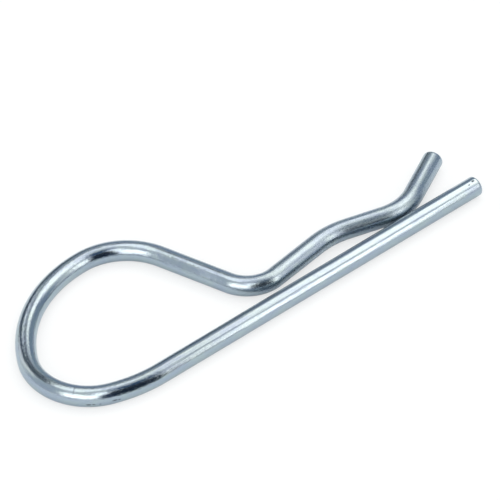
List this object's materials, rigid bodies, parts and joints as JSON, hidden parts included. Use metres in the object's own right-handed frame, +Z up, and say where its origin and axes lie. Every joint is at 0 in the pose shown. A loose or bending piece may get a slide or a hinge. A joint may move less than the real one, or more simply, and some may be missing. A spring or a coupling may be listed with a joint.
{
  "type": "hitch r clip pin",
  "caption": "Spring wire clip bent into a loop, a straight leg that goes through a shaft's cross hole, and a wavy leg that clasps the shaft.",
  "frame": {"origin": "on the straight leg's axis, at the middle of the shaft seat, where the axis of a clasped shaft crosses it", "axes": "+X along the straight leg towards its tip, +Y from the straight leg towards the wavy leg, +Z up from the surface that the clip lies flat on"},
  "size_m": [0.1, 0.0373, 0.004],
  "materials": {
    "zinc_plated_wire": "bright zinc plate with a blue-white passivate on drawn spring wire"
  },
  "bodies": {
    "root": {"r_clip": "zinc_plated_wire"}
  },
  "joints": []
}
